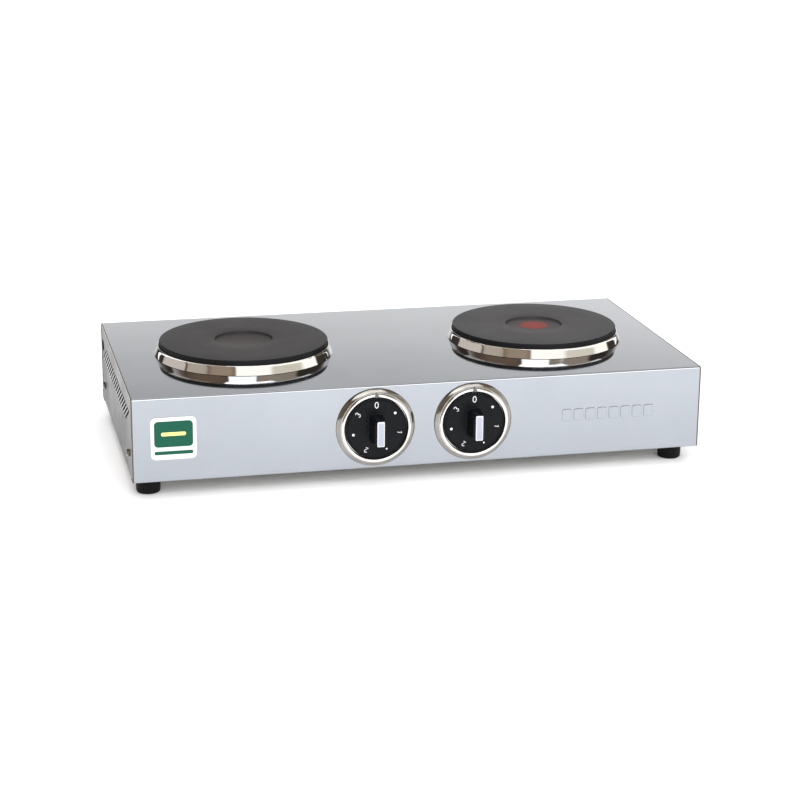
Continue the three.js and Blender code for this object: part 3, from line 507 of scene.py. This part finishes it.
def floor_material():
    material, nodes, shader = new_material("studio_floor")
    cloud = nodes.noise(nodes.coordinates(), 3.0, 3.0)
    pale = nodes.mix(cloud, rgb(0.86, 0.86, 0.865), rgb(0.88, 0.88, 0.885))
    nodes.link(pale, shader.inputs["Base Color"])
    nodes.link(nodes.ramp(cloud, 0, 1, 0.7, 0.8), shader.inputs["Roughness"])
    shader.inputs["Emission Color"].default_value = rgb(1.0, 1.0, 1.0)
    shader.inputs["Emission Strength"].default_value = FLOOR_GLOW
    return material


# ------------------------------------------------------------------ shading of the CAD nodes


WELD = 0.002 * MM
# Edges steeper than these, in degrees, stay sharp: the CAD nodes', the pieces' and the lathed metal's.
SHARP_EDGE = 32
SHARP_PIECE = 38
SHARP_METAL = 50


def smoothing_group():
    """Welds a node's split facets and rounds the shading over its gentle edges."""
    group = bpy.data.node_groups.new("weld_and_smooth", "GeometryNodeTree")
    group.interface.new_socket("Geometry", in_out="INPUT", socket_type="NodeSocketGeometry")
    group.interface.new_socket("Geometry", in_out="OUTPUT", socket_type="NodeSocketGeometry")
    enter = group.nodes.new("NodeGroupInput")
    leave = group.nodes.new("NodeGroupOutput")
    weld = group.nodes.new("GeometryNodeMergeByDistance")
    weld.inputs["Distance"].default_value = WELD
    faces = group.nodes.new("GeometryNodeSetShadeSmooth")
    faces.domain = "FACE"
    edges = group.nodes.new("GeometryNodeSetShadeSmooth")
    edges.domain = "EDGE"
    edges.inputs["Shade Smooth"].default_value = False
    angle = group.nodes.new("GeometryNodeInputMeshEdgeAngle")
    steep = group.nodes.new("FunctionNodeCompare")
    steep.operation = "GREATER_THAN"
    steep.inputs[1].default_value = math.radians(SHARP_EDGE)
    group.links.new(angle.outputs["Unsigned Angle"], steep.inputs[0])
    group.links.new(steep.outputs["Result"], edges.inputs["Selection"])
    group.links.new(enter.outputs[0], weld.inputs["Geometry"])
    group.links.new(weld.outputs["Geometry"], faces.inputs["Geometry"])
    group.links.new(faces.outputs["Geometry"], edges.inputs["Geometry"])
    group.links.new(edges.outputs["Geometry"], leave.inputs[0])
    return group


def smooth(obj, group):
    modifier = obj.modifiers.new("weld_and_smooth", "NODES")
    modifier.node_group = group
    weighted = obj.modifiers.new("weighted_normals", "WEIGHTED_NORMAL")
    weighted.mode = "FACE_AREA"
    weighted.weight = 100
    weighted.keep_sharp = True


# ------------------------------------------------------------------ finer pieces


def arc(cx, cy, radius, start, end, steps):
    points = []
    for i in range(steps + 1):
        angle = math.radians(start + (end - start) * i / steps)
        points.append((cx + radius * math.cos(angle), cy + radius * math.sin(angle)))
    return points


def new_piece(name, body_mesh, material, sharp=SHARP_PIECE):
    """An object made from a shell, shaded smooth apart from its steeper edges."""
    bmesh.ops.remove_doubles(body_mesh, verts=body_mesh.verts, dist=1e-7)
    bmesh.ops.recalc_face_normals(body_mesh, faces=body_mesh.faces)
    mesh = bpy.data.meshes.new(name)
    body_mesh.to_mesh(mesh)
    body_mesh.free()
    mesh.shade_smooth()
    mesh.set_sharp_from_angle(angle=math.radians(sharp))
    piece = bpy.data.objects.new(name, mesh)
    bpy.context.scene.collection.objects.link(piece)
    dress(piece, material)
    return piece


def turn(profile, segments, closed=False):
    """A lathed shell in millimetres about +Z; points on the axis close to one vertex."""
    shell = bmesh.new()
    columns = []
    for i in range(segments):
        angle = 2 * math.pi * i / segments
        columns.append([(r * math.cos(angle), r * math.sin(angle), h) for r, h in profile])
    rings = []
    for j, (r, h) in enumerate(profile):
        if r < 1e-6:
            rings.append([shell.verts.new((0, 0, h * MM))] * segments)
        else:
            rings.append([shell.verts.new([c * MM for c in column[j]]) for column in columns])
    count = len(profile)
    for j in range(count if closed else count - 1):
        low, high = rings[j], rings[(j + 1) % count]
        for i in range(segments):
            k = (i + 1) % segments
            corners = [low[i], low[k], high[k], high[i]]
            unique = [v for n, v in enumerate(corners) if v not in corners[:n]]
            if len(unique) > 2:
                shell.faces.new(unique)
    return shell


def place(shell, at, turn_x=0.0):
    shell.transform(Matrix.Translation(at) @ Matrix.Rotation(math.radians(turn_x), 4, "X"))
    return shell


def plate_profile(has_spot):
    """From the underside's edge, over the rolled rim and the shallow recess, to the middle."""
    floor = PLATE_RISE - RECESS_DEPTH
    seat = SPOT_RADIUS + GAP
    middle_points = [(seat, floor), (seat, floor - 0.5), (0, floor - 0.5)]
    return [
        (0, -7), (PLATE_CORE_RADIUS, -7), (PLATE_CORE_RADIUS, PLATE_UNDER),
        (PLATE_RADIUS - 0.8, PLATE_UNDER),
        *arc(PLATE_RADIUS - 0.8, PLATE_UNDER + 0.8, 0.8, -90, 0, 3)[1:],
        *arc(PLATE_RADIUS - 1.2, PLATE_RISE - 1.2, 1.2, 0, 90, 8),
        (PLATE_RADIUS - 20, PLATE_RISE), (PLATE_RADIUS - 40, PLATE_RISE),
        *arc(RECESS_RADIUS + 0.5, PLATE_RISE - 0.5, 0.5, 90, 165, 4),
        *arc(RECESS_RADIUS - 1.4, floor + 0.6, 0.6, 0, -90, 4),
        *(middle_points if has_spot else [(0, floor)]),
    ]


def ring_profile():
    """A thin pressed wall that leans inward to a rolled lip."""
    return [
        (RING_INNER, GAP), (RING_BASE + 0.1, GAP), (94.1, 2.8), (93.25, 4.9), (92.3, 7.2),
        *arc(91.1, 9.25, 0.55, -10, 190, 12), (91.2, 7.2), (93.6, GAP + 0.9), (RING_INNER, GAP + 0.9),
    ]


def make_hot_plates():
    for side in SIDES:
        centre = middle("plate_" + side)
        at = Vector((centre.x, centre.y, TOP_Z))
        plate = place(turn(plate_profile(side == "right"), 192), at)
        iron = cast_iron("cast_iron_" + side, centre, *IRON_LOOK[side])
        piece = new_piece("casting_" + side, plate, iron)
        stand_in(piece, "plate_" + side)
        ring = place(turn(ring_profile(), 256, closed=True), at)
        piece = new_piece("drip_ring_" + side, ring, CHROME, SHARP_METAL)
        stand_in(piece, "overflow_ring_" + side)
    floor = PLATE_RISE - RECESS_DEPTH
    edge = arc(SPOT_RADIUS - 0.15, floor - 0.15, 0.15, 0, 90, 3)
    spot = [(0, floor - 0.2), (SPOT_RADIUS, floor - 0.2), *edge, (0, floor)]
    at = Vector((middle("plate_right").x, 0, TOP_Z))
    stand_in(new_piece("heat_spot", place(turn(spot, 96), at), RED), "plate_spot_right")


def stand_in(piece, node):
    """The piece takes a CAD node's place: it rides with the node's body."""
    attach(piece, NODE_BODY[node])
    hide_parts(node)


def bezel_profile():
    """From the hub over the domed flange and the rolled lip, down the bore and back to the hub."""
    bore = DIAL_RADIUS + 0.5
    return [
        (HUB_RADIUS, GAP), (BEZEL_RADIUS, GAP), (BEZEL_RADIUS, 0.7),
        *arc(BEZEL_RADIUS - 0.5, 0.7, 0.5, 0, 50, 3)[1:],
        *arc(30.42, -10.66, 16, 50, 66, 10), (LIP_RADIUS, 4.0), (LIP_RADIUS - 0.2, 4.4),
        *arc(bore + 1.85, 4.75, 1.85, 10, 175, 12), (bore, 1.5), (HUB_RADIUS, 1.5),
    ]


def dial_profile():
    return [
        (0, 3.4), (7, 3.4), (7, 2.2), (9, 2.2), (9, 4.3), (29.2, 4.3), (29.2, 2.2), (DIAL_RADIUS, 2.2),
        *arc(DIAL_RADIUS - 0.9, DIAL_FACE - 0.9, 0.9, 0, 90, 5),
        *arc(30.3, DIAL_FACE, 0.55, 0, -180, 6), (28.4, DIAL_FACE), (0, DIAL_FACE),
    ]


def rounded_outline(width, height, radius, steps):
    x, y = width / 2 - radius, height / 2 - radius
    return (arc(x, y, radius, 0, 90, steps) + arc(-x, y, radius, 90, 180, steps)
            + arc(-x, -y, radius, 180, 270, steps) + arc(x, -y, radius, 270, 360, steps))


def loft(levels, steps=8):
    """A closed body through rounded outlines: each level is (height, width, length, corner radius)."""
    shell = bmesh.new()
    rings = []
    for height, width, length, corner in levels:
        outline = rounded_outline(width, length, corner, steps)
        rings.append([shell.verts.new((x * MM, y * MM, height * MM)) for x, y in outline])
    for low, high in zip(rings, rings[1:]):
        for i in range(len(low)):
            k = (i + 1) % len(low)
            shell.faces.new((low[i], low[k], high[k], high[i]))
    shell.faces.new(list(reversed(rings[0])))
    shell.faces.new(rings[-1])
    return shell


def grip_levels():
    """The bar of the knob: a flared foot, leaning walls, a rounded shoulder and the strip's seat."""
    face, top = DIAL_FACE, GRIP_TOP
    width, length = GRIP_FOOT
    levels = [(face - 0.4, width + 1.6, length + 1.6, 5.2), (face + 0.05, width + 1.5, length + 1.5, 5.2)]
    for rise in (0.3, GRIP_FLARE):
        flare = 0.9 * (1 - rise / GRIP_FLARE) ** 2
        levels.append((face + rise, width + flare, length + flare, 4.8))
    wall = top - GRIP_ROUND - face - GRIP_FLARE
    for i in range(1, 7):
        height = face + GRIP_FLARE + wall * i / 6
        inset = GRIP_LEAN * (height - face)
        levels.append((height, width - inset, length - inset, 4.6 - 0.05 * inset))
    width, length = levels[-1][1:3]
    for degrees in (18, 36, 54, 72, 90):
        angle = math.radians(degrees)
        inset = 2 * GRIP_ROUND * (1 - math.cos(angle))
        height = top - GRIP_ROUND + GRIP_ROUND * math.sin(angle)
        levels.append((height, width - inset, length - inset, 4.2 - 0.3 * inset))
    for depth in (0, 1.1):
        levels.append((top - depth, *STRIP_SEAT, 1.1))
    return levels


def combine(piece, other, operation):
    """Joins the other mesh to the piece, or takes it out, for good."""
    bpy.context.view_layer.update()
    modifier = piece.modifiers.new("combine", "BOOLEAN")
    modifier.operation = operation
    modifier.solver = "EXACT"
    modifier.object = other
    graph = bpy.context.evaluated_depsgraph_get()
    mesh = bpy.data.meshes.new_from_object(piece.evaluated_get(graph))
    piece.modifiers.clear()
    piece.data = mesh
    bpy.data.objects.remove(other)
    mesh.shade_smooth()
    mesh.set_sharp_from_angle(angle=math.radians(SHARP_PIECE))


def prism(outline, low, high):
    """An extruded outline in millimetres, from low to high along +Z."""
    shell = bmesh.new()
    bottom = [shell.verts.new((x * MM, y * MM, low * MM)) for x, y in outline]
    top = [shell.verts.new((x * MM, y * MM, high * MM)) for x, y in outline]
    for i in range(len(bottom)):
        k = (i + 1) % len(bottom)
        shell.faces.new((bottom[i], bottom[k], top[k], top[i]))
    shell.faces.new(list(reversed(bottom)))
    shell.faces.new(top)
    return shell


def make_bezel(side, at):
    metal = bezel_metal("bezel_metal_" + side, at)
    ring = place(turn(bezel_profile(), 192, closed=True), at, 90)
    bezel = new_piece("bezel_ring_" + side, ring, metal, SHARP_METAL)
    notch = place(prism(NOTCH, 3.9, 9), at, 90)
    combine(bezel, new_piece("notch", notch, metal), "DIFFERENCE")
    stand_in(bezel, "bezel_" + side)
    inlay = new_piece("index_inlay_" + side, place(prism(INLAY, 3.8, 5.9), at, 90), INDEX)
    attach(inlay, NODE_BODY["bezel_" + side])


def make_knob(side, at):
    knob = new_piece("dial_" + side, place(turn(dial_profile(), 160), at, 90), PLASTIC)
    grip = new_piece("grip", place(loft(grip_levels()), at, 90), PLASTIC)
    combine(knob, grip, "UNION")
    stand_in(knob, "knob_" + side)
    white = insert_white("insert_white_" + side, at)
    strip = new_piece("dial_strip_" + side, place(loft(STRIP_LEVELS), at, 90), white)
    stand_in(strip, "knob_insert_" + side)


def make_controls():
    for side in SIDES:
        centre = middle("bezel_" + side)
        at = Vector((centre.x, FRONT_Y, centre.z))
        make_bezel(side, at)
        make_knob(side, at)
        make_dial_marks(side, at, side + "_control")


def make_dial_marks(side, at, control):
    """Printed settings: 0, dot, 1, dot, 2, dot, 3 clockwise, each with its top outward."""
    for index, mark in enumerate(DIAL_MARKS):
        angle = math.radians(-360 * index / len(DIAL_MARKS))
        if mark == ".":
            number = (index + 1) // 2
            radius = DOT_RADIUS[number]
            shape = turn([(0, -0.1), (radius, -0.1), (radius, 0.05), (0, 0.05)], 32)
            name = "dial_dot_{}_{}".format(number, side)
        else:
            shape = numeral(mark)
            name = "dial_numeral_{}_{}".format(mark, side)
        local = Matrix.Translation((0, MARK_RADIUS * MM, DIAL_FACE * MM))
        around = Matrix.Rotation(angle, 4, "Z")
        forward = Matrix.Rotation(math.radians(90), 4, "X")
        shape.transform(Matrix.Translation(at) @ forward @ around @ local)
        piece = new_piece(name, shape, PRINT)
        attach(piece, control)


def oval(half_width, half_height, step):
    angles = [math.radians(degrees) for degrees in range(0, 360, step)]
    return [(half_width * math.sin(angle), half_height * math.cos(angle)) for angle in angles]


NUMERALS = {
    "0": oval(1.75, 3.2, 12),
    "1": [(-1.5, 1.5), (-0.6, 2.2), (0.3, 3.3), (0.3, 0), (0.3, -3.3)],
    "2": arc(0, 1.5, 1.75, 170, -35, 14) + [(0.2, -1.2), (-1.8, -3.2), (0, -3.2), (1.9, -3.2)],
    "3": arc(0, 1.6, 1.55, 150, -75, 12) + arc(0, -1.6, 1.7, 75, -150, 12),
}


def numeral(mark):
    """A printed numeral: one rounded stroke, pressed flat."""
    curve = bpy.data.curves.new("numeral", "CURVE")
    curve.dimensions = "3D"
    curve.bevel_depth = STROKE * MM
    curve.bevel_resolution = 3
    curve.use_fill_caps = True
    points = NUMERALS[mark]
    spline = curve.splines.new("POLY")
    spline.points.add(len(points) - 1)
    spline.use_cyclic_u = mark == "0"
    for point, (x, y) in zip(spline.points, points):
        point.co = (x * MM, y * MM, 0, 1)
    stroke = bpy.data.objects.new("numeral", curve)
    bpy.context.scene.collection.objects.link(stroke)
    bpy.context.view_layer.update()
    graph = bpy.context.evaluated_depsgraph_get()
    mesh = bpy.data.meshes.new_from_object(stroke.evaluated_get(graph))
    shape = bmesh.new()
    shape.from_mesh(mesh)
    size = NUMERAL_SCALE[mark]
    shape.transform(Matrix.Diagonal((size, size, PRINT_FLATNESS, 1)))
    bpy.data.objects.remove(stroke)
    return shape


# ------------------------------------------------------------------ the scene

# The housing: painted shade darkens its walls toward the foot, a painted highlight lies under the top
# fold, and its ends carry dark cut edges with painted seam shade.
STEEL = stainless("stainless_bright", (0.565, 0.605, 0.665), 0.06, 0.10,
                  END_X - 1.5 * MM, (0.11, 0.09, 0.08), (0.71, 0.84))
# The side panels: satin stainless whose colour is darkened with painted shade, darker still toward the
# foot, with a painted highlight on the vent lips.
STEEL_SIDE = stainless("stainless_satin_painted_shade", (0.165, 0.165, 0.175), 0.30, 0.18,
                       PANEL_X + 0.1 * MM, (0.75, 0.75, 0.77), (0.70, 0.98), 0.7)
CHROME = chrome("polished_chrome")
ZINC = coated("zinc_plate", (0.60, 0.60, 0.57), 0.34, 0.12, 400.0, 0.15, 1.0)
DARK_ZINC = coated("dark_zinc_plate", (0.26, 0.25, 0.235), 0.18, 0.2, 500.0, 0.2, 1.0)
PLASTIC = coated("knob_plastic", (0.0034, 0.0040, 0.0053), 0.30, 0.25, 1400.0, 0.10, specular=0.14)
WHITE = coated("insert_white", (0.40, 0.43, 0.52), 0.4, 0.03, 900.0, 0.06, specular=0.3)
RUBBER = coated("foot_rubber", (0.004, 0.004, 0.0045), 0.62, 0.3, 1200.0, 0.35, specular=0.15)
RED = coated("spot_enamel", (0.15, 0.029, 0.025), 0.6, 0.25, 900.0, 0.3, specular=0.35)
CERAMIC = coated("steatite", (0.78, 0.72, 0.62), 0.55, 0.06, 500.0, 0.2)
MAGNESIA = coated("magnesia", (0.47, 0.43, 0.36), 0.9, 0.15, 700.0, 0.5)
PHENOLIC = coated("phenolic", (0.055, 0.03, 0.02), 0.5, 0.25, 600.0, 0.2)
NYLON = coated("gland_nylon", (0.016, 0.016, 0.018), 0.45, 0.25, 900.0, 0.2)
LOOM = coated("glass_sleeve", (0.62, 0.57, 0.46), 0.85, 0.2, 1500.0, 0.9)
PRINT = coated("dial_print", (0.60, 0.61, 0.62), 0.5, 0.04, 2500.0, 0.05)
INDEX = coated("index_enamel", (0.10, 0.09, 0.09), 0.45, 0.08, 900.0, 0.1)

# The first prefix that fits a CAD node's name gives its material.
BY_PREFIX = (
    ("housing", STEEL), ("side_panel", STEEL_SIDE), ("base_tray", ZINC), ("foot_screw", ZINC),
    ("foot_", RUBBER), ("side_screw", DARK_ZINC), ("plate_cover", ZINC), ("plate_stud", ZINC),
    ("plate_terminal", CERAMIC), ("plate_spot", RED), ("overflow_ring", CHROME),
    ("heater_core", MAGNESIA), ("clamp_", ZINC), ("bezel", CHROME), ("knob_insert", WHITE),
    ("knob_", PLASTIC), ("switch_shaft", ZINC), ("switch_body", PHENOLIC), ("switch_screw", ZINC),
    ("cable_gland", NYLON), ("gland_nut", NYLON), ("gland_lock_nut", ZINC),
    ("mains_terminal", CERAMIC), ("earth_bolt", ZINC), ("supply_loom", LOOM), ("heater_loom", LOOM),
)


def dress_cad_nodes():
    group = smoothing_group()
    for name, obj in NODES.items():
        if name in ("plate_left", "plate_right"):
            look = IRON_LOOK[name[len("plate_"):]]
            dress(obj, cast_iron(name + "_iron", middle(name), *look))
        elif name == "front_label":
            dress(obj, label_print("label_film", *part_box(name)))
        else:
            dress(obj, next(m for prefix, m in BY_PREFIX if name.startswith(prefix)))
        smooth(obj, group)


def make_floor():
    bpy.ops.mesh.primitive_plane_add(size=FLOOR_SIZE, location=(0, 0, 0))
    floor = bpy.context.object
    floor.name = "studio_floor"
    dress(floor, floor_material())


def make_world():
    """The studio by direction: azimuth is counted from the camera's side, positive to its right."""
    world = bpy.data.worlds.new("studio")
    bpy.context.scene.world = world
    world.use_nodes = True
    nodes = Nodes(world.node_tree)
    direction = nodes.add("ShaderNodeTexCoord").outputs["Generated"]

    def along(x, y):
        node = nodes.add("ShaderNodeVectorMath", operation="DOT_PRODUCT")
        nodes.link(direction, node.inputs[0])
        node.inputs[1].default_value = (x, y, 0)
        return node.outputs["Value"]

    a = CAMERA_AZIMUTH
    toward = along(math.sin(a), -math.cos(a))
    rightward = along(math.cos(a), math.sin(a))
    azimuth = nodes.math("MULTIPLY", nodes.math("ARCTAN2", rightward, toward), 180 / math.pi)
    upward = nodes.axes(direction)["Z"]
    height = nodes.math("MULTIPLY", nodes.math("ARCSINE", upward), 180 / math.pi)

    def window(value, low, high, soft):
        rise = nodes.smooth(value, low - soft, low + soft)
        fall = nodes.smooth(value, high - soft, high + soft, 1.0, 0.0)
        return nodes.math("MULTIPLY", rise, fall)

    def patch(az_low, az_high, el_low, el_high, az_soft=2.0, el_soft=2.0):
        return nodes.math("MULTIPLY", window(azimuth, az_low, az_high, az_soft),
                          window(height, el_low, el_high, el_soft))

    colour = nodes.mix(0.0, ROOM_DARK, ROOM_DARK)
    for region, tone in STUDIO:
        colour = nodes.mix(patch(*region), colour, rgb(*tone))
    inner, outer = BACKDROP_SIDE
    far_right = nodes.smooth(azimuth, inner, outer)
    far_left = nodes.smooth(azimuth, -outer, -inner, 1.0, 0.0)
    far = nodes.math("MAXIMUM", far_right, far_left)
    backdrop = nodes.add("ShaderNodeValToRGB")
    ramp = backdrop.color_ramp
    while len(ramp.elements) < len(BACKDROP):
        ramp.elements.new(1.0)
    for element, (degrees, tone) in zip(ramp.elements, BACKDROP):
        element.position = degrees / 90
        element.color = rgb(*tone)
    nodes.link(nodes.math("DIVIDE", height, 90.0), backdrop.inputs["Fac"])
    tilt = nodes.ramp(rightward, -BACKDROP_REACH, BACKDROP_REACH, *BACKDROP_LIFT)
    shaded = nodes.add("ShaderNodeVectorMath", operation="SCALE")
    nodes.link(backdrop.outputs["Color"], shaded.inputs[0])
    nodes.link(tilt, shaded.inputs["Scale"])
    colour = nodes.mix(far, colour, shaded.outputs[0])
    background = nodes.add("ShaderNodeBackground")
    nodes.link(colour, background.inputs["Color"])
    background.inputs["Strength"].default_value = 1.0
    output = nodes.add("ShaderNodeOutputWorld")
    nodes.link(background.outputs[0], output.inputs["Surface"])


make_camera()
make_world()
make_floor()
make_fills()
dress_cad_nodes()
make_hot_plates()
make_controls()

bpy.context.scene.view_settings.view_transform = "Standard"
